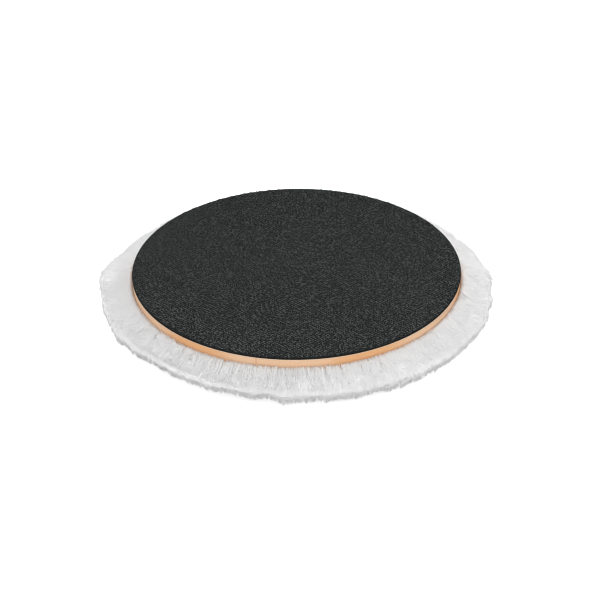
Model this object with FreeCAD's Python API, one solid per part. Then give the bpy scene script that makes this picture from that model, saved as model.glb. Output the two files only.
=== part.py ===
import FreeCAD, Part
import os

# Round wool polishing pad for a hook-faced backing plate.
# It lies on its wool, working face down, with the loop face up.
# Units are millimetres, +Z up, and the origin is the centre of the working face.

# Driving dimensions
PLATE_DIAMETER = 150.0  # nominal diameter of the backing plate that the pad fits
LOOP_CLOTH_THICKNESS = 1.0  # warp-knit cloth with raised loops
LOOP_EDGE_RADIUS = 0.3  # rounding that the die leaves on the cloth's upper edge
BOND_FILM_THICKNESS = 0.15  # hot-melt web between two layers
BOND_FILM_INSET = 0.4  # the web stops short of the cut edge
FOAM_THICKNESS = 5.0
HIDE_THICKNESS = 0.9
HIDE_INSET = 0.25  # the tanned skin is cut a little under the foam

WOOL_OVERHANG = 14.5  # how far the wool stands out past the foam
WOOL_UNDER_HIDE = 10.6  # free pile between the skin and the surface it lies on
WOOL_GAP = 0.05  # room between the wool's collar and the cut edges beside it
COLLAR_RISE = 0.7  # how far the wool climbs the cut edge above the skin's lower face
SHOULDER_OUT = 9.5  # where the skirt's upper side turns downwards
SHOULDER_RISE = 0.2  # how far the shoulder stands above the collar
WIDEST_DROP = 3.0  # how far the widest line lies below the collar
HEEL_OUT = 7.0  # where the rounded underside meets the flat working face
HEEL_LIFT = 2.8  # height of the underside's turn above the flat face
HEEL_TURN_OUT = 11.9

# Worked-out sizes
PAD_RADIUS = PLATE_DIAMETER / 2
WOOL_RADIUS = PAD_RADIUS + WOOL_OVERHANG
HIDE_BOTTOM = WOOL_UNDER_HIDE
HIDE_TOP = HIDE_BOTTOM + HIDE_THICKNESS
FOAM_BOTTOM = HIDE_TOP + BOND_FILM_THICKNESS
FOAM_TOP = FOAM_BOTTOM + FOAM_THICKNESS
LOOP_BOTTOM = FOAM_TOP + BOND_FILM_THICKNESS
LOOP_TOP = LOOP_BOTTOM + LOOP_CLOTH_THICKNESS


def disc(radius, bottom, thickness):
    """A round layer of the laminate."""
    return Part.makeCylinder(radius, thickness, FreeCAD.Vector(0, 0, bottom))


def loop_cloth():
    """The loop-faced cloth that grips the backing plate, with its cut edge rounded."""
    cloth = disc(PAD_RADIUS, LOOP_BOTTOM, LOOP_CLOTH_THICKNESS)
    rims = [edge for edge in cloth.Edges if edge.BoundBox.ZMin > LOOP_TOP - 0.01]
    return cloth.makeFillet(LOOP_EDGE_RADIUS, rims)


def upper_bond_film():
    """The hot-melt web that joins the cloth to the foam."""
    return disc(PAD_RADIUS - BOND_FILM_INSET, FOAM_TOP, BOND_FILM_THICKNESS)


def foam_disc():
    """The die-cut foam interface."""
    return disc(PAD_RADIUS, FOAM_BOTTOM, FOAM_THICKNESS)


def lower_bond_film():
    """The hot-melt web that joins the foam to the skin."""
    return disc(PAD_RADIUS - BOND_FILM_INSET, HIDE_TOP, BOND_FILM_THICKNESS)


def hide_disc():
    """The tanned skin that the wool grows from."""
    return disc(PAD_RADIUS - HIDE_INSET, HIDE_BOTTOM, HIDE_THICKNESS)


def profile_point(out, height):
    """A point of the wool's profile, given by its distance past the foam's edge."""
    return FreeCAD.Vector(PAD_RADIUS + out, 0, height)


def wool_pile():
    """The wool under the skin and the full skirt round it, turned about the pad's axis."""
    collar_top = HIDE_BOTTOM + COLLAR_RISE
    collar_out = WOOL_GAP - HIDE_INSET
    axis_bottom = FreeCAD.Vector(0, 0, 0)
    axis_top = FreeCAD.Vector(0, 0, HIDE_BOTTOM)
    heel = profile_point(HEEL_OUT, 0)
    heel_turn = profile_point(HEEL_TURN_OUT, HEEL_LIFT)
    widest = profile_point(WOOL_OVERHANG, collar_top - WIDEST_DROP)
    shoulder = profile_point(SHOULDER_OUT, collar_top + SHOULDER_RISE)
    collar = profile_point(collar_out, collar_top)
    collar_foot = profile_point(collar_out, HIDE_BOTTOM)
    skirt = Part.BSplineCurve()
    skirt.interpolate([heel, heel_turn, widest, shoulder, collar])
    edges = [
        Part.makeLine(axis_bottom, heel),
        skirt.toShape(),
        Part.makeLine(collar, collar_foot),
        Part.makeLine(collar_foot, axis_top),
        Part.makeLine(axis_top, axis_bottom),
    ]
    face = Part.Face(Part.Wire(edges))
    half = face.revolve(FreeCAD.Vector(0, 0, 0), FreeCAD.Vector(0, 0, 1), 180)
    other_half = half.copy()
    other_half.rotate(FreeCAD.Vector(0, 0, 0), FreeCAD.Vector(0, 0, 1), 180)
    return half.fuse(other_half).removeSplitter()


def main():
    os.makedirs("parts", exist_ok=True)
    pieces = {
        "loop_cloth": loop_cloth(),
        "upper_bond_film": upper_bond_film(),
        "foam_disc": foam_disc(),
        "lower_bond_film": lower_bond_film(),
        "hide_disc": hide_disc(),
        "wool_pile": wool_pile(),
    }
    for name, shape in pieces.items():
        solid = shape.Solids[0] if len(shape.Solids) == 1 else shape
        box = solid.BoundBox
        print(
            f"{name}: valid {solid.isValid()}, solids {len(shape.Solids)}, "
            f"volume {solid.Volume / 1000:.2f} cm3, "
            f"z {box.ZMin:.2f} to {box.ZMax:.2f}, x {box.XMin:.2f} to {box.XMax:.2f}"
        )
        solid.exportStep(f"parts/{name}.step")


main()
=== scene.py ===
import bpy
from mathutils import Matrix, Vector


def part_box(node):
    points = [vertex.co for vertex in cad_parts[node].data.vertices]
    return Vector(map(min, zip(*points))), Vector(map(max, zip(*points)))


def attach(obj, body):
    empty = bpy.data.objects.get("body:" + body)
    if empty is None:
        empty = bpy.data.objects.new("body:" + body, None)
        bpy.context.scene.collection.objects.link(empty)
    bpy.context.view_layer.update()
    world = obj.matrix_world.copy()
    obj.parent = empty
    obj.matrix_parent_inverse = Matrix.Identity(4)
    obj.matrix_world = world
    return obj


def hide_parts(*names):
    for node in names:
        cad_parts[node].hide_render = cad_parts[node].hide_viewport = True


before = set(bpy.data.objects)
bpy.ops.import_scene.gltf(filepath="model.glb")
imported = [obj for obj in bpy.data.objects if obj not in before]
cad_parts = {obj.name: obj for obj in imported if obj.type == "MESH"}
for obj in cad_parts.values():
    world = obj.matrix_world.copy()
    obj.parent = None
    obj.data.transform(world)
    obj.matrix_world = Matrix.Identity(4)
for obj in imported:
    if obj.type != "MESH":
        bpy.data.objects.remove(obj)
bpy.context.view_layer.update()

import logging
import math
from dataclasses import dataclass, field
from enum import Enum
from typing import Any, Callable

import bpy
import numpy as np
from mathutils import Euler, Vector
from mathutils.kdtree import KDTree

# Lengths are metres throughout, and MM turns a maker's millimetres into them.
MM = 0.001
TURN = 2 * math.pi
MOST_TRIANGLES = 195_000
LOG = logging.getLogger("wool_pad")

Array = np.ndarray
Piece = bpy.types.Object
Material = bpy.types.Material
Outline = list[tuple[float, float]]
Colour = tuple[float, float, float, float]


class Wool(Enum):
    """The parts of the fleece, each groomed in its own way."""

    COLLAR = "collar"
    UNDERFUR = "underfur"
    SKIRT = "skirt"
    HEEL = "heel"
    FACE = "face"


# ---- modelling by hand


def deselect() -> None:
    """Leave edit mode and select nothing."""
    if bpy.context.object is not None and bpy.context.object.mode != "OBJECT":
        bpy.ops.object.mode_set(mode="OBJECT")
    bpy.ops.object.select_all(action="DESELECT")


def pick(piece: Piece) -> None:
    """Make one piece the selected and active one."""
    deselect()
    piece.select_set(True)
    bpy.context.view_layer.objects.active = piece


def settle(piece: Piece, name: str) -> Piece:
    """Name a new piece and put its place into its mesh, with its object at the origin."""
    pick(piece)
    bpy.ops.object.transform_apply(location=True, rotation=True, scale=True)
    piece.name = name
    piece.data.name = name
    return piece


def next_ring(rise: float, scale: float, height: float) -> None:
    """Extrude the selected ring upwards, then scale it about the pad's axis at its height."""
    bpy.ops.mesh.extrude_region_move(TRANSFORM_OT_translate={"value": (0, 0, rise)})
    bpy.ops.transform.resize(value=(scale, scale, 1), center_override=(0, 0, height))


def close_up() -> None:
    """Turn every face outwards and leave edit mode."""
    bpy.ops.mesh.select_all(action="SELECT")
    bpy.ops.mesh.normals_make_consistent(inside=False)
    bpy.ops.object.mode_set(mode="OBJECT")


def lathe(name: str, outline: Outline, segments: int, smooth_angle: float) -> Piece:
    """Raise a closed round shape ring by ring, each ring extruded and scaled from the last.

    Args:
        name: The piece's name.
        outline: Radius and height of each ring, from the bottom's middle round to the top's.
        segments: Edges in each ring.
        smooth_angle: Edges sharper than this stay crisp, in radians.

    Returns:
        The piece, with closed ends.
    """
    deselect()
    radius, height = outline[0]
    bpy.ops.mesh.primitive_circle_add(
        vertices=segments, radius=radius, location=(0, 0, height), fill_type="NGON"
    )
    piece = settle(bpy.context.object, name)
    bpy.ops.object.mode_set(mode="EDIT")
    bpy.ops.mesh.select_all(action="SELECT")
    bpy.ops.mesh.flip_normals()
    for next_radius, next_height in outline[1:]:
        next_ring(next_height - height, next_radius / radius, next_height)
        radius, height = next_radius, next_height
    close_up()
    bpy.ops.object.shade_smooth_by_angle(angle=smooth_angle)
    return piece


def places(piece: Piece) -> Array:
    """Every vertex of a piece, one row each."""
    found = np.empty(len(piece.data.vertices) * 3, np.float32)
    piece.data.vertices.foreach_get("co", found)
    return found.reshape(-1, 3).astype(float)


def reshape(piece: Piece, points: Array) -> None:
    """Move every vertex of a piece to its row of points."""
    piece.data.vertices.foreach_set("co", points.astype(np.float32).ravel())
    piece.data.update()


@dataclass(frozen=True)
class Drift:
    """Smooth repeatable noise in space, for lumps, locks and wandering fibres."""

    seed: int

    def _corner(self, cell: Array) -> Array:
        """A number from -1 to 1 for each lattice cell."""
        x, y, z = (cell.astype(np.uint64) & np.uint64(0xFFFFFFFF)).T
        mixed = (x * np.uint64(73856093)) ^ (y * np.uint64(19349663)) ^ (z * np.uint64(83492791))
        mixed = (mixed + np.uint64(self.seed * 7919)) * np.uint64(2654435761)
        mixed ^= mixed >> np.uint64(15)
        mixed *= np.uint64(2246822519)
        mixed ^= mixed >> np.uint64(13)
        return (mixed & np.uint64(0xFFFF)).astype(float) / 32767.5 - 1

    def at(self, points: Array, size: float) -> Array:
        """A number from -1 to 1 for each point, changing over distances of about size."""
        lattice = points / size
        cell = np.floor(lattice).astype(np.int64)
        ease = lattice - cell
        ease = ease * ease * (3 - 2 * ease)
        total = np.zeros(len(points))
        for corner in np.ndindex(2, 2, 2):
            share = np.prod(np.where(corner, ease, 1 - ease), axis=1)
            total += share * self._corner(cell + np.array(corner))
        return total

    def vector(self, points: Array, size: float) -> Array:
        """Three independent numbers from -1 to 1 for each point."""
        shifts = (0.0, 31.7, 67.3)
        return np.column_stack([self.at(points + shift * size, size) for shift in shifts])


def hump(away: Array, width: float) -> Array:
    """A smooth bump, 1 where away is 0 and fading over the width."""
    return np.exp(-((away / width) ** 2))


def between_angles(angle: Array, start: float) -> Array:
    """How far each angle is from a start, the short way round."""
    return np.angle(np.exp(1j * (angle - start)))


def wrap(out: Any, turn: Array, up: Array) -> Array:
    """Points from their distances out from the pad's axis, their angles and their heights."""
    return np.stack([out * np.cos(turn), out * np.sin(turn), up], axis=-1)


def lines(starts: Array, ends: Array, share: Array) -> Array:
    """Straight paths, with a point at each share of the way from start to end."""
    return starts[:, None] * (1 - share) + ends[:, None] * share


def nearest(spots: Array, points: Array) -> Array:
    """The number of the spot that is nearest to each point."""
    tree = KDTree(len(spots))
    for index, spot in enumerate(spots):
        tree.insert(spot, index)
    tree.balance()
    return np.array([tree.find(point)[1] for point in points])


# ---- shader nodes


class Value:
    """A shader socket that can be written into plain expressions."""

    def __init__(self, board: "Board", socket: bpy.types.NodeSocket) -> None:
        """Hold a socket and the board it is on."""
        self.board = board
        self.socket = socket

    def _math(self, operation: str, first: Any, second: Any) -> "Value":
        """Add a Math node on two values or numbers."""
        return self.board.node("ShaderNodeMath", {"operation": operation}, {0: first, 1: second})

    def __add__(self, other: Any) -> "Value":
        """This plus other."""
        return self._math("ADD", self, other)

    def __sub__(self, other: Any) -> "Value":
        """This minus other."""
        return self._math("SUBTRACT", self, other)

    def __rsub__(self, other: Any) -> "Value":
        """Other minus this."""
        return self._math("SUBTRACT", other, self)

    def __mul__(self, other: Any) -> "Value":
        """This times other."""
        return self._math("MULTIPLY", self, other)


class Board:
    """One material's nodes, with its Principled shader ready to be fed."""

    def __init__(self, name: str) -> None:
        """Start a material with a Principled shader and an output."""
        self.material = bpy.data.materials.new(name)
        self.material.use_nodes = True
        self.tree = self.material.node_tree
        self.tree.nodes.clear()
        self.shader = self.tree.nodes.new("ShaderNodeBsdfPrincipled")
        output = self.tree.nodes.new("ShaderNodeOutputMaterial")
        self.tree.links.new(self.shader.outputs[0], output.inputs["Surface"])

    def feed(self, socket: bpy.types.NodeSocket, value: Any) -> None:
        """Link a value to a socket, or set a plain number or colour on it."""
        if isinstance(value, Value):
            self.tree.links.new(value.socket, socket)
        else:
            socket.default_value = value

    def node(self, kind: str, settings: dict | None = None, sockets: dict | None = None,
             output: int | str = 0) -> Value:
        """Add any node.

        Args:
            kind: The node's type.
            settings: Its own settings, and a ramp's stops under "stops".
            sockets: Values or plain numbers for its input sockets, by name or place.
            output: Which output the result reads.

        Returns:
            The chosen output.
        """
        made = self.tree.nodes.new(kind)
        for key, setting in (settings or {}).items():
            if key == "stops":
                while len(made.color_ramp.elements) < len(setting):
                    made.color_ramp.elements.new(0.5)
                for stop, (place, colour) in zip(made.color_ramp.elements, setting):
                    stop.position = place
                    stop.color = colour
            else:
                setattr(made, key, setting)
        for key, value in (sockets or {}).items():
            self.feed(made.inputs[key], value)
        return Value(self, made.outputs[output])

    def place(self) -> Value:
        """The piece's own Object coordinates."""
        return self.node("ShaderNodeTexCoord", output="Object")

    def split(self, place: Value) -> list[Value]:
        """The X, Y and Z parts of a place."""
        made = self.tree.nodes.new("ShaderNodeSeparateXYZ")
        self.feed(made.inputs[0], place)
        return [Value(self, part) for part in made.outputs]

    def mapped(self, turn: float = 0.0, scale: tuple[float, float, float] = (1, 1, 1)) -> Value:
        """Object coordinates turned about the pad's axis and stretched."""
        turned = self.node(
            "ShaderNodeMapping", {}, {"Vector": self.place(), "Rotation": (0, 0, turn)}
        )
        return self.node("ShaderNodeMapping", {}, {"Vector": turned, "Scale": scale})

    def noise(self, where: Value, scale: float, detail: float = 2.0,
              roughness: float = 0.5) -> Value:
        """Cloudy noise from 0 to 1 at a place."""
        sockets = {"Vector": where, "Scale": scale, "Detail": detail, "Roughness": roughness}
        return self.node("ShaderNodeTexNoise", {}, sockets)

    def between(self, value: Value, low: float, high: float) -> Value:
        """Spread a value so that low becomes 0 and high becomes 1, held there."""
        sockets = {"Value": value, "From Min": low, "From Max": high}
        return self.node("ShaderNodeMapRange", {"interpolation_type": "SMOOTHSTEP"}, sockets)

    def mix(self, share: Any, first: Any, second: Any) -> Value:
        """Mix two colours."""
        sockets = {0: share, 6: first, 7: second}
        return self.node("ShaderNodeMix", {"data_type": "RGBA"}, sockets, output=2)

    def bump(self, height: Value, strength: float, distance: float) -> None:
        """Raise the surface's shading by a height."""
        sockets = {"Strength": strength, "Distance": distance, "Height": height}
        self.feed(self.shader.inputs["Normal"], self.node("ShaderNodeBump", {}, sockets))

    def set(self, **values: Any) -> Material:
        """Set the shader's sockets, named with _ for each space, and give the material."""
        for key, value in values.items():
            self.feed(self.shader.inputs[key.replace("_", " ")], value)
        return self.material


def shade(red: int, green: int, blue: int) -> Colour:
    """A linear colour from the 0 to 255 numbers of a colour chart."""
    linear = [
        part / 12.92 if part <= 0.04045 else ((part + 0.055) / 1.055) ** 2.4
        for part in (red / 255, green / 255, blue / 255)
    ]
    return (*linear, 1.0)


@dataclass(frozen=True)
class LoopClothFinish:
    """Charcoal loop cloth: a dark knitted ground under paler standing loops."""

    ground: Colour = shade(5, 6, 6)
    thread: Colour = shade(30, 33, 32)
    loops: tuple[Colour, ...] = (shade(51, 55, 54), shade(66, 70, 69), shade(80, 85, 83))

    def build(self) -> Material:
        """The ground's material."""
        board = Board("charcoal_ground")
        knit = board.noise(board.mapped(math.radians(30), (1.0, 0.6, 1.0)), 1150, 2.0, 0.7)
        patches = board.noise(board.place(), 60, 3.0, 0.5)
        colour = board.mix(board.between(knit, 0.42, 0.62), self.ground, self.thread)
        colour = board.mix(board.between(patches, 0.3, 0.75) * 0.2, colour, self.ground)
        return board.set(Base_Color=colour, Roughness=0.9, Specular_IOR_Level=0.2)

    def build_loops(self) -> list[Material]:
        """A material for each shade of loop thread."""
        return [
            Board(f"charcoal_loop_{number}").set(
                Base_Color=colour, Roughness=0.75, Specular_IOR_Level=0.3
            )
            for number, colour in enumerate(self.loops, 1)
        ]


@dataclass(frozen=True)
class FoamFinish:
    """Fine peach foam whose cut edge turns from light to warm and back round the disc; the light
    bands are painted reflection of the lights.
    """

    reflected_pale: Colour = shade(222, 185, 152)
    warm: Colour = shade(219, 167, 120)
    pit: Colour = shade(196, 146, 108)
    # The colour the cut edge turns to just under its upper face.
    skin: Colour = shade(240, 220, 200)
    reflection_bands: int = 6
    phase: float = math.radians(36)

    def build(self, joint_angle: float, top: float) -> Material:
        """The foam's material, for a strip's joint at an angle and an upper face at a height."""
        board = Board("peach_foam")
        across, along, height = board.split(board.place())
        # Painted reflection: the cut edge is light at the front and at the ends and warm between,
        # swinging with the angle round the disc, with cloudy tone at random.
        turn = board.node("ShaderNodeMath", {"operation": "ARCTAN2"}, {0: across, 1: along})
        phase = turn * self.reflection_bands - self.phase
        reflection_wave = board.node("ShaderNodeMath", {"operation": "COSINE"}, {0: phase})
        cloud = board.noise(board.place(), 30, 2.0, 0.5)
        warmth = board.between(reflection_wave * -1.0 + cloud * 0.8 - 0.4, -0.35, 0.95)
        colour = board.mix(warmth, self.reflected_pale, self.warm)
        cells = board.noise(board.place(), 1700, 2.0, 0.6)
        colour = board.mix(board.between(cells, 0.6, 0.78) * 0.45, colour, self.pit)
        # Paler towards the upper face.
        near_top = board.between(height, top - 0.45 * MM, top - 0.1 * MM)
        colour = board.mix(near_top * 0.55, colour, self.skin)
        ahead, aside, _ = board.split(board.mapped(-joint_angle))
        away = board.node("ShaderNodeMath", {"operation": "ABSOLUTE"}, {0: aside})
        near = 1.0 - board.between(away, 0.12 * MM, 0.3 * MM)
        line = near * board.between(ahead, 1 * MM, 2 * MM)
        colour = board.mix(line * 0.7, colour, self.pit)
        board.bump(cells, 0.3, 0.12 * MM)
        return board.set(Base_Color=colour, Roughness=0.8, Specular_IOR_Level=0.3)


@dataclass(frozen=True)
class WoolFinish:
    """Clean white lambswool, in a few whites so that neighbouring fibres differ; the collar takes
    only the brightest, as painted light.
    """

    pile: Colour = shade(253, 253, 253)
    # Creamier and a touch darker than the collar's white: painted shade in the gaps by the foam.
    root: Colour = shade(250, 249, 246)
    whites: tuple[Colour, ...] = (shade(249, 249, 250), shade(251, 251, 252), shade(254, 254, 254))
    glow: float = 0.25 * MM

    def _wool(self, name: str, colour: Colour) -> Material:
        """Matt wool of one colour, which light passes into as it does between real fibres."""
        return Board(name).set(
            Base_Color=colour, Roughness=0.95, Specular_IOR_Level=0.15,
            Subsurface_Weight=1.0, Subsurface_Radius=(1, 1, 1), Subsurface_Scale=self.glow,
        )

    def build_pile(self) -> Material:
        """The dense pile's material."""
        return self._wool("wool_pile", self.pile)

    def build_shaded_roots(self) -> Material:
        """The underfur's material, creamier and a touch darker than the collar: painted shade in
        the gaps by the foam.
        """
        return self._wool("wool_underfur_shaded", self.root)

    def build_fibres(self) -> list[Material]:
        """A material for each white of fibre."""
        return [
            self._wool(f"wool_fibre_{number}", colour)
            for number, colour in enumerate(self.whites, 1)
        ]


@dataclass(frozen=True)
class SkinFinish:
    """Cream tanned skin with a suede nap."""

    body: Colour = shade(222, 208, 180)
    patch: Colour = shade(196, 178, 146)

    def build(self) -> Material:
        """The skin's material."""
        board = Board("tanned_skin")
        grain = board.noise(board.place(), 900, 3.0, 0.6)
        cloud = board.noise(board.place(), 60, 3.0, 0.5)
        colour = board.mix(board.between(cloud, 0.35, 0.7), self.body, self.patch)
        board.bump(grain, 0.4, 0.2 * MM)
        return board.set(Base_Color=colour, Roughness=0.85)


@dataclass(frozen=True)
class FilmFinish:
    """A milky hot-melt web."""

    body: Colour = shade(224, 214, 198)
    thread: Colour = shade(240, 236, 228)

    def build(self) -> Material:
        """The web's material."""
        board = Board("hot_melt_web")
        web = board.noise(board.place(), 500, 3.0, 0.6)
        colour = board.mix(board.between(web, 0.45, 0.6), self.body, self.thread)
        return board.set(Base_Color=colour, Roughness=0.45)


@dataclass(frozen=True)
class TableFinish:
    """The plain white table that the pad lies on."""

    white: Colour = (0.92, 0.92, 0.92, 1.0)

    def build(self) -> Material:
        """The table's material."""
        board = Board("white_table")
        return board.set(
            Base_Color=self.white, Roughness=0.9, Emission_Color=(1, 1, 1, 1),
            Emission_Strength=0.45,
        )


# ---- strands


@dataclass(frozen=True)
class Strand:
    """One tapered strand, modelled once and copied along many paths.

    Its length runs from 0 to 1 along Z and its root has a radius of 1.
    """

    segments: int
    sides: int = 3
    end_width: float = 0.45

    def model(self) -> tuple[Array, list[list[int]]]:
        """Extrude and taper the strand.

        Returns:
            Its vertices, and the vertices of each face.
        """
        deselect()
        bpy.ops.mesh.primitive_circle_add(vertices=self.sides, radius=1, fill_type="NGON")
        piece = bpy.context.object
        bpy.ops.object.mode_set(mode="EDIT")
        bpy.ops.mesh.select_all(action="SELECT")
        taper = self.end_width ** (1 / self.segments)
        for level in range(1, self.segments + 1):
            next_ring(1 / self.segments, taper, level / self.segments)
        bpy.ops.mesh.merge(type="CENTER")
        close_up()
        points = places(piece)
        faces = [list(face.vertices) for face in piece.data.polygons]
        bpy.data.objects.remove(piece)
        return points, faces

    def copy_along(self, name: str, paths: Array, radii: Array, across: Array) -> Piece:
        """Join one copy of the strand for each path into one mesh.

        Args:
            name: The mesh's name.
            paths: For each strand, its points from root to tip, evenly spaced.
            radii: The root radius of each strand.
            across: For each strand, a direction that its path never runs along.

        Returns:
            The piece.
        """
        points, faces = self.model()
        level = np.rint(points[:, 2] * self.segments).astype(int)
        along = np.gradient(paths, axis=1)
        along /= np.linalg.norm(along, axis=2, keepdims=True) + 1e-12
        side = np.cross(along, across[:, None])
        side /= np.linalg.norm(side, axis=2, keepdims=True) + 1e-12
        other = np.cross(along, side)
        wide = radii[:, None, None]
        placed = (
            paths[:, level]
            + side[:, level] * points[None, :, :1] * wide
            + other[:, level] * points[None, :, 1:2] * wide
        )
        return join_copies(name, placed, faces)


def join_copies(name: str, placed: Array, faces: list[list[int]]) -> Piece:
    """Make one mesh of many placed copies of a small shape.

    Args:
        name: The mesh's name.
        placed: The vertices of each copy.
        faces: The vertices of each face of one copy.

    Returns:
        The piece, shaded smooth.
    """
    copies, size = placed.shape[:2]
    corners = np.array([corner for face in faces for corner in face])
    totals = np.array([len(face) for face in faces])
    loops = (corners[None] + size * np.arange(copies)[:, None]).ravel()
    counts = np.tile(totals, copies)
    mesh = bpy.data.meshes.new(name)
    mesh.vertices.add(copies * size)
    mesh.vertices.foreach_set("co", placed.astype(np.float32).ravel())
    mesh.loops.add(len(loops))
    mesh.loops.foreach_set("vertex_index", loops.astype(np.int32))
    mesh.polygons.add(len(counts))
    starts = np.concatenate([[0], np.cumsum(counts)[:-1]])
    mesh.polygons.foreach_set("loop_start", starts.astype(np.int32))
    mesh.polygons.foreach_set("use_smooth", np.ones(len(counts), bool))
    mesh.update(calc_edges=True)
    mesh.validate()
    piece = bpy.data.objects.new(name, mesh)
    bpy.context.scene.collection.objects.link(piece)
    return piece


# ---- the pad's layers


@dataclass
class LoopCloth:
    """The loop-faced cloth on top of the pad: a knitted ground and its standing loops."""

    cell: float = 0.5 * MM
    relief: float = 0.08 * MM
    roll: float = 0.3 * MM
    loop_height: float = 0.42 * MM
    loop_reach: float = 0.5 * MM
    loop_thread: float = 0.21 * MM
    column: float = 1.82 * MM
    row: float = 0.87 * MM
    slant: float = math.radians(-33)
    untidiness: float = 0.6
    misplaced: float = 0.16 * MM
    bare_rim: float = 0.55 * MM
    shade_limits: tuple[float, float] = (0.36, 0.7)
    knit: Drift = Drift(3)
    stitches: Drift = Drift(4)
    wear: Drift = Drift(6)
    seed: int = 5
    finish: LoopClothFinish = field(default_factory=LoopClothFinish)

    def build(self) -> list[Piece]:
        """Cut the ground's round from a fine net, drop its edge and stand the loops on it."""
        low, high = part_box("loop_cloth")
        radius, ground = high.y, high.z - self.loop_height * 0.75
        deselect()
        steps = round(2 * radius / self.cell)
        bpy.ops.mesh.primitive_grid_add(
            x_subdivisions=steps, y_subdivisions=steps, size=2 * radius + self.cell,
            location=(0, 0, ground),
        )
        piece = settle(bpy.context.object, "loop_cloth_ground")
        self._cut_round(piece, radius)
        self._drop_edge(piece, radius, low.z)
        self._ripple(piece, ground)
        piece.data.materials.append(self.finish.build())
        loops = self._loops(radius, ground)
        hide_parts("loop_cloth")
        for made in [piece, *loops]:
            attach(made, "root")
        return [piece, *loops]

    def _cut_round(self, piece: Piece, radius: float) -> None:
        """Delete the net outside the round and pull its rim onto the circle."""
        for vertex in piece.data.vertices:
            vertex.select = math.hypot(vertex.co.x, vertex.co.y) > radius - self.cell * 0.35
        for part in (*piece.data.edges, *piece.data.polygons):
            part.select = False
        bpy.ops.object.mode_set(mode="EDIT")
        bpy.ops.mesh.select_mode(type="VERT")
        bpy.ops.mesh.delete(type="VERT")
        bpy.ops.mesh.select_all(action="SELECT")
        bpy.ops.mesh.region_to_loop()
        bpy.ops.object.mode_set(mode="OBJECT")
        for vertex in piece.data.vertices:
            if vertex.select:
                reach = (radius - self.roll) / math.hypot(vertex.co.x, vertex.co.y)
                vertex.co.x *= reach
                vertex.co.y *= reach

    def _drop_edge(self, piece: Piece, radius: float, bottom: float) -> None:
        """Turn the rim down over a small roll and close the underside."""
        top = piece.data.vertices[0].co.z
        bpy.ops.object.mode_set(mode="EDIT")
        inner = radius - self.roll
        height = top
        # Each ring's radius, and its drop as a share of the cloth's thickness.
        for out, down in ((inner + 0.7 * self.roll, 0.12), (radius, 0.45), (radius, 1.0)):
            drop = top - (top - bottom) * down
            next_ring(drop - height, out / inner, drop)
            inner, height = out, drop
        bpy.ops.mesh.edge_face_add()
        close_up()
        bpy.ops.object.shade_smooth_by_angle(angle=math.radians(60))

    def _ripple(self, piece: Piece, ground: float) -> None:
        """Raise the ground's uneven knit."""
        points = places(piece)
        on_top = (points[:, 2] > ground - 0.01 * MM).astype(float)
        uneven = 0.6 * self.knit.at(points, 1.2 * MM) + 0.4 * self.stitches.at(points, 0.6 * MM)
        points[:, 2] += on_top * self.relief * uneven
        reshape(piece, points)

    def _loops(self, radius: float, ground: float) -> list[Piece]:
        """Stand a small brushed arch of thread on every stitch, one piece for each shade."""
        rng = np.random.default_rng(self.seed)
        rows = np.arange(-radius, radius, self.row)
        columns = np.arange(-radius, radius, self.column)
        x, y = np.meshgrid(columns, rows)
        x = x + (np.arange(len(rows)) % 2)[:, None] * self.column / 2
        foot = np.column_stack([x.ravel(), y.ravel(), np.full(x.size, ground)])
        foot[:, :2] += rng.normal(0, self.misplaced, (len(foot), 2))
        foot = foot[np.hypot(foot[:, 0], foot[:, 1]) < radius - self.bare_rim]
        count = len(foot)
        heading = self.slant + rng.normal(0, self.untidiness, count)
        run = np.column_stack([np.cos(heading), np.sin(heading), np.zeros(count)])
        lean = np.column_stack([-run[:, 1], run[:, 0], np.zeros(count)])
        share = np.linspace(0, 1, 7)
        size = rng.uniform(0.75, 1.2, count)[:, None, None]
        arch = np.sin(share * math.pi)[None, :, None]
        forward = (share * 2 - 1)[None, :, None] * self.loop_reach * size
        tilt = rng.normal(0.35, 0.35, count)[:, None, None]
        paths = foot[:, None] + run[:, None] * forward
        paths = paths + lean[:, None] * (arch * self.loop_height * tilt)
        paths = paths + np.array([0, 0, 1]) * ((arch * 1.1 - 0.25) * self.loop_height * size)
        radii = self.loop_thread * rng.uniform(0.75, 1.15, count)
        strand = Strand(6, end_width=1.0)
        # Random patches of wear, plus loops paler towards the front: that paleness is painted
        # light.
        wear_and_front_light = self.wear.at(foot, 30 * MM) * 0.1 - foot[:, 1] / radius * 0.2
        shades = np.digitize(rng.random(count) + wear_and_front_light, self.shade_limits)
        made = []
        for number, material in enumerate(self.finish.build_loops()):
            chosen = shades == number
            piece = strand.copy_along(
                f"loop_nap_{number + 1}", paths[chosen], radii[chosen], lean[chosen]
            )
            piece.data.materials.append(material)
            made.append(piece)
        return made


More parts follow.
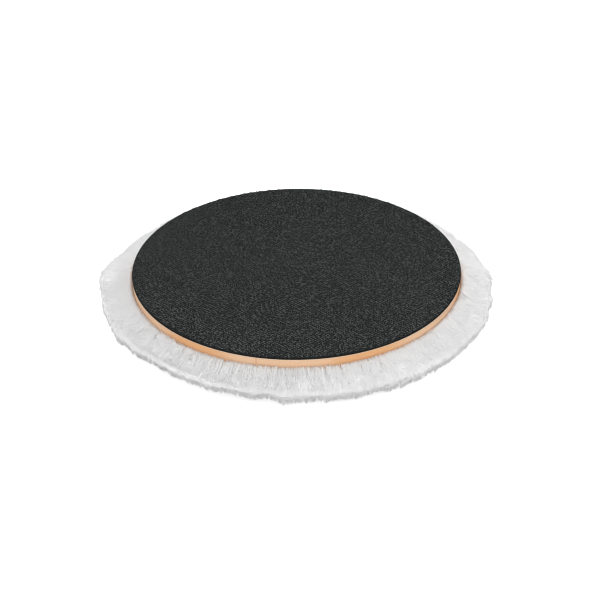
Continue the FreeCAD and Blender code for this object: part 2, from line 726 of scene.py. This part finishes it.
@dataclass
class Foam:
    """The thin foam disc, seen as a peach-orange band."""

    rows: int = 22
    segments: int = 900
    pinch: float = 0.12 * MM
    cell_depth: float = 0.05 * MM
    cell_size: float = 0.45 * MM
    cells: Drift = Drift(7)
    joint_angle: float = math.radians(-103.6)
    joint_width: float = 0.35 * MM
    joint_depth: float = 0.18 * MM
    finish: FoamFinish = field(default_factory=FoamFinish)

    def build(self) -> list[Piece]:
        """Raise the disc, waist its cut edge a little and open its cells."""
        low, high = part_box("foam_disc")
        radius = high.y
        outline = [(radius * 0.5, low.z)]
        for row in range(self.rows + 1):
            share = row / self.rows
            waist = self.pinch * (1 - (2 * share - 1) ** 4)
            outline.append((radius - waist, low.z + share * (high.z - low.z)))
        outline.append((radius * 0.5, high.z))
        piece = lathe("foam_interface", outline, self.segments, math.radians(50))
        self._open_cells(piece, radius)
        piece.data.materials.append(self.finish.build(self.joint_angle, high.z))
        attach(piece, "root")
        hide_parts("foam_disc")
        return [piece]

    def _open_cells(self, piece: Piece, radius: float) -> None:
        """Roughen the cut edge and press the joint line into it."""
        points = places(piece)
        out = np.hypot(points[:, 0], points[:, 1])
        angle = np.arctan2(points[:, 1], points[:, 0])
        on_edge = out > radius * 0.9
        away = between_angles(angle, self.joint_angle) * radius
        joint = self.joint_depth * hump(away, self.joint_width)
        pits = self.cell_depth * (self.cells.at(points, self.cell_size) - 0.6)
        change = np.where(on_edge, 1 + (pits - joint) / np.maximum(out, 1e-6), 1)
        points[:, :2] *= change[:, None]
        reshape(piece, points)


@dataclass
class Skin:
    """The tanned skin under the foam."""

    segments: int = 360
    finish: SkinFinish = field(default_factory=SkinFinish)

    def build(self) -> list[Piece]:
        """Raise the skin's round with a softly cut edge."""
        low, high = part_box("hide_disc")
        radius, soft = high.y, 0.2 * MM
        outline = [
            (radius * 0.4, low.z), (radius * 0.9, low.z), (radius - soft, low.z),
            (radius, low.z + soft), (radius, high.z - soft), (radius - soft, high.z),
            (radius * 0.9, high.z), (radius * 0.4, high.z),
        ]
        piece = lathe("tanned_skin", outline, self.segments, math.radians(40))
        piece.data.materials.append(self.finish.build())
        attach(piece, "root")
        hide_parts("hide_disc")
        return [piece]


@dataclass
class BondFilms:
    """The hot-melt webs, which keep their CAD shape."""

    finish: FilmFinish = field(default_factory=FilmFinish)

    def dress(self) -> None:
        """Give both webs their finish."""
        material = self.finish.build()
        for name in ("upper_bond_film", "lower_bond_film"):
            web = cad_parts[name]
            web.data.materials.clear()
            web.data.materials.append(material)


class Clip:
    """The outline that the wool is clipped to, read by its length from the foam outwards."""

    def __init__(self, corners: Outline, per_span: int = 12) -> None:
        """Run a smooth line through the corners, from the foam's edge to the heel."""
        rough = np.array(corners, float)
        padded = np.vstack([2 * rough[0] - rough[1], rough, 2 * rough[-1] - rough[-2]])
        share = np.linspace(0, 1, per_span, endpoint=False)[:, None]
        spans = []
        for first, second, third, fourth in zip(padded, padded[1:], padded[2:], padded[3:]):
            spans.append(0.5 * (
                2 * second + (third - first) * share
                + (2 * first - 5 * second + 4 * third - fourth) * share**2
                + (3 * second - first - 3 * third + fourth) * share**3
            ))
        self.line = np.vstack([*spans, rough[-1:]])
        steps = np.linalg.norm(np.diff(self.line, axis=0), axis=1)
        self.marks = np.concatenate([[0], np.cumsum(steps)])
        self.length = float(self.marks[-1])

    def point(self, along: Array) -> Array:
        """Radius and height at each length along the line."""
        columns = [np.interp(along, self.marks, self.line[:, i]) for i in (0, 1)]
        return np.column_stack(columns)

    def tangent(self, along: Array) -> Array:
        """The line's direction, away from the foam."""
        step = 0.4 * MM
        change = self.point(along + step) - self.point(along - step)
        return change / (np.linalg.norm(change, axis=1, keepdims=True) + 1e-12)

    def scatter(self, count: int, start: float, end: float, rng: np.random.Generator) -> Array:
        """Draw lengths between two along the line, spread evenly over the area it sweeps."""
        marks = np.linspace(start, end, 200)
        weight = np.cumsum(self.point(marks)[:, 0])
        return np.interp(rng.random(count) * weight[-1], weight, marks)


@dataclass(frozen=True)
class Groom:
    """How one part of the fleece is set: how many fibres, how long and how they lie."""

    part: Wool
    start: float
    end: float
    fibres: int
    locks: int
    depth: float
    root_lift: float
    tip_lift: float
    radius: float
    stray: float


@dataclass(frozen=True)
class Swell:
    """A place round the rim, in degrees, where the fleece stands fuller or flatter."""

    at: float
    spread: float
    rise: float


@dataclass
class Fleece:
    """The lambswool: a dense pile inside and a mantle of separate fibres over it."""

    seed: int = 11
    lumps: Drift = Drift(21)
    lobes: Drift = Drift(22)
    tufts: Drift = Drift(24)
    hollows: Drift = Drift(25)
    sway: Drift = Drift(31)
    face_lift: Drift = Drift(23)
    lump: float = 1.55 * MM
    lump_size: float = 10 * MM
    lobe_size: float = 5.5 * MM
    tuft_size: float = 2.6 * MM
    floor: float = 0.12 * MM
    lip: float = 0.1 * MM
    lip_width: float = 2.2 * MM
    groove: float = 0.7 * MM
    groove_at: float = 4.5 * MM
    groove_width: float = 1.9 * MM
    deepest_at: float = -2.75
    deepest_over: float = 0.33
    bunch_spacing: float = 1.6 * MM
    collar_fibres: int = 13000
    collar_sink: float = 1.3 * MM
    collar_radius: float = 0.095 * MM
    face_fibres: int = 10500
    face_locks: int = 1900
    face_depth: float = 2.6 * MM
    face_radius: float = 0.14 * MM
    wander: float = 0.35
    wander_size: float = 9 * MM
    crimp: float = 0.05
    gathers_between: tuple[float, float] = (9 * MM, 17 * MM)
    gathered: tuple[float, float] = (0.3, 0.85)
    combed_at: float = math.radians(-88)
    combed_over: float = math.radians(48)
    swells: tuple[Swell, ...] = (
        Swell(-120, 20, -1.6 * MM), Swell(-143, 14, -1.2 * MM), Swell(173, 7, 2.6 * MM),
        Swell(33, 11, -2.0 * MM), Swell(6, 5, 1.5 * MM), Swell(142, 14, -1.2 * MM),
    )
    finish: WoolFinish = field(default_factory=WoolFinish)

    def __post_init__(self) -> None:
        """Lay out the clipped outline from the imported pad's own sizes."""
        low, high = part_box("wool_pile")
        foam_low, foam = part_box("foam_disc")
        self.edge = foam.y
        self.foam_low = foam_low.z
        self.rng = np.random.default_rng(self.seed)
        edge, over = self.edge, high.y - foam.y
        base = foam_low.z
        self.clip = Clip([
            (edge + 0.01 * over, base + 1.7 * MM),
            (edge + 0.18 * over, base + 1.2 * MM),
            (edge + 0.38 * over, base + 0.45 * MM),
            (edge + 0.57 * over, base - 0.52 * MM),
            (edge + 0.745 * over, base - 1.65 * MM),
            (edge + 0.88 * over, base - 3.0 * MM),
            (edge + 0.965 * over, base - 4.55 * MM),
            (edge + 0.99 * over, base - 6.0 * MM),
            (edge + 0.95 * over, base - 7.4 * MM),
            (edge + 0.86 * over, base - 8.65 * MM),
            (edge + 0.72 * over, base - 10.2 * MM),
            (edge + 0.52 * over, base - 11.35 * MM),
            (edge + 0.25 * over, low.z),
            (edge - 0.1 * over, low.z),
        ])

    def grooms(self) -> list[Groom]:
        """The parts of the mantle from the foam outwards."""
        end = self.clip.length
        degree = math.radians(1)
        return [
            Groom(
                Wool.UNDERFUR, start=0.1 * MM, end=3.0 * MM, fibres=4000, locks=900,
                depth=1.3 * MM, root_lift=62 * degree, tip_lift=50 * degree,
                radius=0.09 * MM, stray=0.4,
            ),
            Groom(
                Wool.SKIRT, start=2.0 * MM, end=24 * MM, fibres=42000, locks=3600,
                depth=2.2 * MM, root_lift=48 * degree, tip_lift=30 * degree,
                radius=0.08 * MM, stray=0.22,
            ),
            Groom(
                Wool.HEEL, start=23 * MM, end=end, fibres=6000, locks=900,
                depth=2.6 * MM, root_lift=75 * degree, tip_lift=70 * degree,
                radius=0.11 * MM, stray=0.3,
            ),
        ]

    def build(self) -> list[Piece]:
        """Make the dense pile, then the fibres of each part."""
        body = self._pile()
        body.data.materials.append(self.finish.build_pile())
        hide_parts("wool_pile")
        whites = self.finish.build_fibres()
        made = [body, *self._collar(whites)]
        for groom in self.grooms():
            underfur = groom.part is Wool.UNDERFUR
            made += self._mantle(groom, [self.finish.build_shaded_roots()] if underfur else whites)
        made += self._face(whites)
        for piece in made:
            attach(piece, "root")
        return made

    def _relief(self, along: Array, surface: Array) -> Array:
        """How far the wool stands over its clipped outline, at lengths along it and in space."""
        angle = np.arctan2(surface[:, 1], surface[:, 0])
        ring = wrap(self.edge, angle, 0 * angle)
        radial = wrap(self.edge, angle, along * 0.12)
        lobe = 0.75 * self.lobes.at(radial, self.lobe_size)
        tuft = 0.35 * self.tufts.at(radial, self.tuft_size)
        lump = 0.45 * self.lumps.at(surface, self.lump_size) + (lobe + tuft)
        lump = lump * self.lump * np.clip((along - 5 * MM) / (12 * MM), 0.08, 1)
        deep = np.clip(0.2 + 1.2 * self.hollows.at(ring, 13 * MM), 0, 0.8)
        deep = np.maximum(deep, hump(angle - self.deepest_at, self.deepest_over))
        groove = self.groove * deep * hump(along - self.groove_at, self.groove_width)
        full = self._fullness(angle) * np.clip(along / (13 * MM), 0, 1)
        return lump + full - groove + self.lip * hump(along, self.lip_width)

    def _fullness(self, angle: Array) -> Array:
        """How much further out the fleece stands at each angle about the pad's axis."""
        total = np.zeros(len(angle))
        for swell in self.swells:
            away = between_angles(angle, math.radians(swell.at))
            total += swell.rise * hump(away, math.radians(swell.spread))
        return total

    def _pile(self) -> Piece:
        """The dense pile under the mantle, lumpy as its locks are."""
        skin_low, skin_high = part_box("hide_disc")
        along = np.linspace(0, self.clip.length, 60)
        clipped = self.clip.point(along)
        tangent = self.clip.tangent(along)
        inward = np.column_stack([tangent[:, 1], -tangent[:, 0]])
        depth = np.interp(along, [0, 3 * MM, 6 * MM, self.clip.length],
                          [1.9 * MM, 2.2 * MM, 2.2 * MM, 2.4 * MM])
        line = clipped + inward * depth[:, None]
        line = line[line[:, 0] > skin_high.y + 0.15 * MM]
        flat = line[-1, 1]
        under = skin_low.z - 0.1 * MM
        outline = [(skin_high.y * 0.3, under), (skin_high.y + 0.1 * MM, under)]
        outline += [(r, z) for r, z in line]
        outline += [(skin_high.y * share, flat) for share in (0.9, 0.8, 0.7, 0.6, 0.5, 0.4, 0.3)]
        outline.reverse()
        piece = lathe("wool_pile_body", outline, 400, math.radians(180))
        points = places(piece)
        out = np.hypot(points[:, 0], points[:, 1])
        away = np.hypot(out[:, None] - clipped[:, 0], points[:, 2, None] - clipped[:, 1])
        beside = along[np.argmin(away, axis=1)]
        surface, _, normal = self._skirt_at(beside, np.arctan2(points[:, 1], points[:, 0]))
        free = np.clip((out - skin_high.y - 0.5 * MM) / (2 * MM), 0, 1)
        rise = self._relief(beside, surface) * free
        points += normal * rise[:, None]
        points[:, 2] = np.maximum(points[:, 2], clipped[-1, 1] + 1 * MM)
        reshape(piece, points)
        return piece

    def _skirt_at(self, along: Array, turn: Array) -> tuple:
        """The clipped outline in space: points, directions away from the foam and normals."""
        flat = self.clip.point(along)
        tangent = self.clip.tangent(along)
        surface = wrap(flat[:, 0], turn, flat[:, 1])
        flow = wrap(tangent[:, 0], turn, tangent[:, 1])
        normal = wrap(-tangent[:, 1], turn, tangent[:, 0])
        return surface, flow, normal

    def _comb(self, part: Wool, strand: Strand, paths: Array, radii: Array,
              across: Array, whites: list[Material]) -> list[Piece]:
        """Share fibres out at random between the whites, one piece for each.

        Args:
            part: The part of the fleece, which names the pieces.
            strand: The strand to copy.
            paths: Each fibre's points from root to tip.
            radii: Each fibre's root radius.
            across: A direction that each fibre's path never runs along.
            whites: The materials.

        Returns:
            The pieces.
        """
        most = MOST_TRIANGLES / (strand.segments * strand.sides * 2)
        parts = len(whites) * math.ceil(len(paths) / len(whites) / most)
        share = self.rng.integers(0, parts, len(paths))
        made = []
        for number in range(parts):
            chosen = share == number
            piece = strand.copy_along(
                f"wool_{part.value}_{number + 1}", paths[chosen], radii[chosen], across[chosen]
            )
            piece.data.materials.append(whites[number % len(whites)])
            made.append(piece)
        return made

    def _collar(self, whites: list[Material]) -> list[Piece]:
        """Set the bunched roots that climb the foam's lower edge and fan out over the skirt."""
        rng = self.rng
        bunches = round(TURN * self.edge / self.bunch_spacing)
        count = self.collar_fibres
        step = TURN / bunches
        bunch = rng.integers(0, bunches, count)
        centre = (np.arange(bunches) + rng.uniform(-0.35, 0.35, bunches)) * step
        lift = rng.normal(0, 0.14 * MM, bunches) + 0.5 * MM * np.cos(centre) ** 2
        stretch = rng.uniform(0.7, 1.25, bunches)
        turn = centre[bunch] + rng.uniform(-0.75, 0.75, count) * step
        combed = hump(between_angles(turn, self.combed_at), self.combed_over)
        held = rng.random(count) < 0.1 + 0.5 * combed
        tip_turn = np.where(
            held, centre[bunch] + rng.normal(0, 0.2, count) * step,
            turn + rng.normal(0, 0.3, count) * step,
        )
        reach = (1.5 * MM + 8.5 * MM * rng.random(count) ** 1.4) * stretch[bunch]
        foot = self.clip.point(reach)
        surface = wrap(foot[:, 0], turn, foot[:, 1])
        foot_up = foot[:, 1] + self._relief(reach, surface) - self.collar_sink
        tip_out = self.edge + rng.uniform(0.12 * MM, 0.5 * MM, count)
        tip_up = self.foam_low + 1.75 * MM + lift[bunch] + rng.normal(0, 0.15 * MM, count)
        middle_out = (foot[:, 0] + tip_out) / 2
        middle_up = (foot_up + tip_up) / 2 + rng.uniform(0.1 * MM, 0.45 * MM, count)
        share = np.linspace(0, 1, 6)[None, :]
        weights = ((1 - share) ** 2, 2 * share * (1 - share), share**2)
        out, up = (
            sum(weight * part[:, None] for weight, part in zip(weights, parts))
            for parts in ((foot[:, 0], middle_out, tip_out), (foot_up, middle_up, tip_up))
        )
        paths = wrap(out, turn[:, None] + (tip_turn - turn)[:, None] * share, up)
        paths += rng.normal(0, 0.04 * MM, paths.shape) * share[..., None]
        sideways = np.column_stack([-np.sin(turn), np.cos(turn), np.zeros(count)])
        radii = self.collar_radius * rng.uniform(0.7, 1.3, count)
        # Only the brightest white: painted light, lifting the shaded wool under the foam's edge.
        return self._comb(
            Wool.COLLAR, Strand(5), self._clear(paths), radii, sideways, whites[2:]
        )

    def _mantle(self, groom: Groom, whites: list[Material]) -> list[Piece]:
        """Set the fibres of one part of the skirt, shared out between the whites."""
        rng = self.rng
        locks = self._bed(self.clip.scatter(groom.locks, groom.start, groom.end, rng),
                          rng.random(groom.locks) * TURN, groom)
        lock_tip = self._tips(*locks, rng.normal(0.02, 0.15, groom.locks),
                              rng.normal(0, 0.22, groom.locks))
        count = groom.fibres
        along = self.clip.scatter(count, groom.start, groom.end, rng)
        bed = self._bed(along, rng.random(count) * TURN, groom)
        near = nearest(locks[0], bed[0])
        rise = rng.normal(0, 0.12, count) + 0.5 * rng.random(count) ** 9
        tip = self._tips(*bed, rise, rng.normal(0, groom.stray, count))
        locked = np.interp(along, self.gathers_between, self.gathered)
        gather = (locked * rng.random(count) ** 0.5)[:, None]
        tip = tip + (lock_tip[near] - tip) * gather
        paths = self._paths(bed[0], tip, bed[3], groom)
        radii = groom.radius * rng.uniform(0.7, 1.25, count)
        sideways = np.cross(bed[3], bed[2])
        return self._comb(groom.part, Strand(3), paths, radii, sideways, whites)

    def _bed(self, along: Array, turn: Array, groom: Groom) -> tuple:
        """Where fibres start, then the wool's surface over them, its tangents and normals."""
        surface, flow, normal = self._skirt_at(along, turn)
        surface = surface + normal * self._relief(along, surface)[:, None]
        lean = 1 / math.tan((groom.root_lift + groom.tip_lift) / 2)
        roots = surface - normal * groom.depth - flow * (groom.depth * lean)
        return roots, surface, flow, normal

    def _tips(self, roots: Array, surface: Array, flow: Array,
              normal: Array, rise: Array, swing: Array) -> Array:
        """Where fibres end.

        Args:
            roots, surface, flow, normal: What _bed gives for them.
            rise: How much longer or shorter each is, as a share.
            swing: How far each swings sideways, in radians.

        Returns:
            The tips.
        """
        across = np.cross(normal, flow)
        reach = surface - roots
        length = np.linalg.norm(reach, axis=1, keepdims=True)
        wander = self.sway.at(surface, self.wander_size) * self.wander
        aside = across * np.tan(np.clip(swing + wander, -1.1, 1.1))[:, None] * length
        return roots + reach * (1 + rise)[:, None] + aside * 0.6

    def _paths(self, roots: Array, tips: Array, normal: Array, groom: Groom) -> Array:
        """Bow each fibre from root to tip and give it a little crimp."""
        share = np.linspace(0, 1, 4)[None, :, None]
        length = np.linalg.norm(tips - roots, axis=1)[:, None, None]
        bow = math.sin(groom.root_lift - groom.tip_lift) * 0.5
        paths = lines(roots, tips, share)
        paths = paths + normal[:, None] * (length * bow * share * (1 - share))
        crimp = self.rng.normal(0, self.crimp, paths.shape) * length * share
        return self._clear(paths + crimp)

    def _clear(self, paths: Array) -> Array:
        """Keep fibres out of the foam and above the table."""
        out = np.hypot(paths[..., 0], paths[..., 1])
        least = self.edge + 0.1 * MM
        inside = (paths[..., 2] > self.foam_low - 1.0 * MM) & (out < least)
        push = np.where(inside, least / np.maximum(out, 1e-6), 1)
        paths[..., :2] *= push[..., None]
        paths[..., 2] = np.maximum(paths[..., 2], self.floor)
        return paths

    def _face(self, whites: list[Material]) -> list[Piece]:
        """Set the upright fibres of the working face underneath."""
        rng = self.rng
        count = self.face_fibres
        reach = self.clip.point(np.array([self.clip.length]))[0, 0] + 1 * MM

        def spread(total: int) -> Array:
            """Points spread evenly over the face."""
            out = reach * np.sqrt(rng.random(total))
            return wrap(out, rng.random(total) * TURN, np.zeros(total))

        lock = spread(self.face_locks)
        lock_tip = lock + rng.normal(0, 0.5 * MM, lock.shape) * [1, 1, 0]
        roots = spread(count)
        near = nearest(lock, roots)
        tips = roots + (lock_tip[near] - roots) * (0.65 * rng.random(count)[:, None] ** 0.5)
        tips = tips + self.sway.vector(roots, 12 * MM) * [0.8 * MM, 0.8 * MM, 0]
        tips[:, 2] = self.floor + np.abs(rng.normal(0, 0.12 * MM, count))
        tips[:, 2] += 0.25 * MM * (1 + self.face_lift.at(roots, 5 * MM))
        roots = roots + [0, 0, self.face_depth]
        share = np.linspace(0, 1, 4)[None, :, None]
        paths = lines(roots, tips, share)
        paths = paths + rng.normal(0, 0.1 * MM, paths.shape) * share
        paths[..., 2] = np.maximum(paths[..., 2], self.floor)
        radii = self.face_radius * rng.uniform(0.7, 1.25, count)
        sideways = np.tile([1.0, 0.0, 0.0], (count, 1))
        return self._comb(Wool.FACE, Strand(3), paths, radii, sideways, whites[:2])


# ---- the studio


@dataclass(frozen=True)
class Studio:
    """A white table, soft light all round and one camera."""

    table_radius: float = 3.0
    table_thickness: float = 20 * MM
    elevation: float = math.radians(31.95)
    distance: float = 0.9
    focal_length: float = 118.22
    aim_right: float = -1.462 * MM
    aim_up: float = 15.142 * MM
    roll: float = math.radians(-0.58)
    low_light: float = 0.4
    high_light: float = 1.22
    light_rise: tuple[float, float] = (-0.9, 0.6)
    box_place: tuple[float, float, float] = (0.04, -0.43, 0.66)
    box_width: float = 0.3
    box_power: float = 1.9
    light_bounces: int = 32

    def table(self) -> None:
        """The round table top, with a softly rounded rim."""
        rim, deep = self.table_radius, self.table_thickness
        outline = [(rim * 0.3, -deep), (rim, -deep), (rim * 1.002, -deep / 2), (rim, 0.0),
                   (rim * 0.3, 0.0)]
        top = lathe("table", outline, 128, math.radians(40))
        top.data.materials.append(TableFinish().build())
        top.visible_diffuse = False
        top.visible_glossy = False

    def lights(self) -> None:
        """White light from all round, brighter from above, with a soft box high in front."""
        world = bpy.data.worlds.new("white_room")
        world.use_nodes = True
        nodes, links = world.node_tree.nodes, world.node_tree.links
        direction = nodes.new("ShaderNodeTexCoord")
        parts = nodes.new("ShaderNodeSeparateXYZ")
        fade = nodes.new("ShaderNodeMapRange")
        ends = {
            "From Min": self.light_rise[0], "From Max": self.light_rise[1],
            "To Min": self.low_light, "To Max": self.high_light,
        }
        for key, value in ends.items():
            fade.inputs[key].default_value = value
        links.new(direction.outputs["Generated"], parts.inputs[0])
        links.new(parts.outputs["Z"], fade.inputs["Value"])
        links.new(fade.outputs[0], nodes["Background"].inputs["Strength"])
        nodes["Background"].inputs["Color"].default_value = (1, 1, 1, 1)
        bpy.context.scene.world = world
        lamp = bpy.data.lights.new("front_box", "AREA")
        lamp.size = self.box_width
        lamp.energy = self.box_power
        holder = bpy.data.objects.new("front_box", lamp)
        holder.location = self.box_place
        holder.rotation_euler = (-Vector(self.box_place)).to_track_quat("-Z", "Y").to_euler()
        bpy.context.scene.collection.objects.link(holder)

    def camera(self) -> None:
        """Look down on the pad from in front, with the cloth a little above the middle."""
        _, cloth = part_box("loop_cloth")
        centre = Vector((0, 0, cloth.z))
        lens = bpy.data.cameras.new("camera")
        lens.sensor_width = 36.0
        lens.lens = self.focal_length
        lens.clip_start = 0.05
        eye = bpy.data.objects.new("camera", lens)
        turn = Euler((math.pi / 2 - self.elevation, 0, 0)).to_matrix()
        offset = Vector((self.aim_right, self.aim_up, 0))
        eye.location = centre + turn @ (Vector((0, 0, self.distance)) - offset)
        tilt = Euler((0, 0, self.roll)).to_matrix()
        eye.rotation_euler = (turn @ tilt).to_euler()
        bpy.context.scene.collection.objects.link(eye)
        bpy.context.scene.camera = eye

    def build(self) -> None:
        """Set up the table, the light and the camera, and keep colours plain."""
        self.table()
        self.lights()
        self.camera()
        scene = bpy.context.scene
        scene.view_settings.view_transform = "Standard"
        scene.cycles.max_bounces = self.light_bounces
        scene.cycles.diffuse_bounces = self.light_bounces
        scene.cycles.filter_width = 1.1


def main() -> None:
    """Build the pad layer by layer, then the studio round it."""
    logging.basicConfig(level=logging.INFO, format="%(message)s")
    Studio().build()
    builders: list[Callable[[], list[Piece]]] = [
        LoopCloth().build, Foam().build, Skin().build, Fleece().build,
    ]
    for build in builders:
        for piece in build():
            LOG.info("%s: %d faces", piece.name, len(piece.data.polygons))
    BondFilms().dress()


if __name__ == "__main__":
    main()
